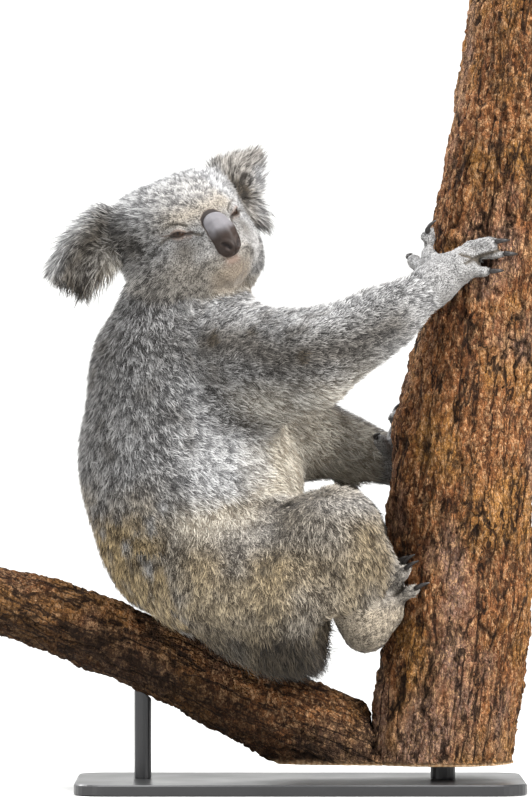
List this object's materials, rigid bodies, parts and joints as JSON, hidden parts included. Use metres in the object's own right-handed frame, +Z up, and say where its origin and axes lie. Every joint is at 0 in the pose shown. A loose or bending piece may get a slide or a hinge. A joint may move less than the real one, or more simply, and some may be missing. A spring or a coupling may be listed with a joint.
{
  "type": "koala",
  "caption": "Life-size koala in grey fur, sitting in the fork of a cut tree trunk and holding it with both hands, on a plain flat display stand.",
  "frame": {"origin": "middle of the underside of the stand's base", "axes": "+Z up along the tree; +X from the koala's back towards the tree that it holds; +Y from the koala's right side to its left"},
  "size_m": [0.6881, 0.3007, 0.8662],
  "materials": {
    "fur": "dense woolly silver-grey fur, cream underneath",
    "ear_fur": "long pale fringe with dark locks",
    "nose": "smooth bare skin, slightly moist",
    "eye": "wet gloss",
    "claw": "horn, satin",
    "bark": "rough furrowed bark, sawn ends",
    "stand": "satin black"
  },
  "bodies": {
    "root": {"neck": "fur", "torso": "fur", "head": "fur", "nose": "nose", "ear_right": "ear_fur", "eye_right": "eye", "ear_left": "ear_fur", "eye_left": "eye", "hand_right": "fur", "claw_hand_right_1": "claw", "claw_hand_right_2": "claw", "claw_hand_right_3": "claw", "claw_hand_right_4": "claw", "claw_hand_right_5": "claw", "upper_arm_right": "fur", "forearm_right": "fur", "hand_left": "fur", "claw_hand_left_1": "claw", "claw_hand_left_2": "claw", "claw_hand_left_3": "claw", "claw_hand_left_4": "claw", "claw_hand_left_5": "claw", "upper_arm_left": "fur", "forearm_left": "fur", "foot_right": "fur", "claw_foot_right_1": "claw", "claw_foot_right_2": "claw", "claw_foot_right_3": "claw", "claw_foot_right_4": "claw", "thigh_right": "fur", "shank_right": "fur", "foot_left": "fur", "claw_foot_left_1": "claw", "claw_foot_left_2": "claw", "claw_foot_left_3": "claw", "claw_foot_left_4": "claw", "thigh_left": "fur", "shank_left": "fur", "perch_tree": "bark", "perch_branch": "bark", "stand_base": "stand", "stand_rod_tree": "stand", "stand_rod_branch": "stand"}
  },
  "joints": []
}
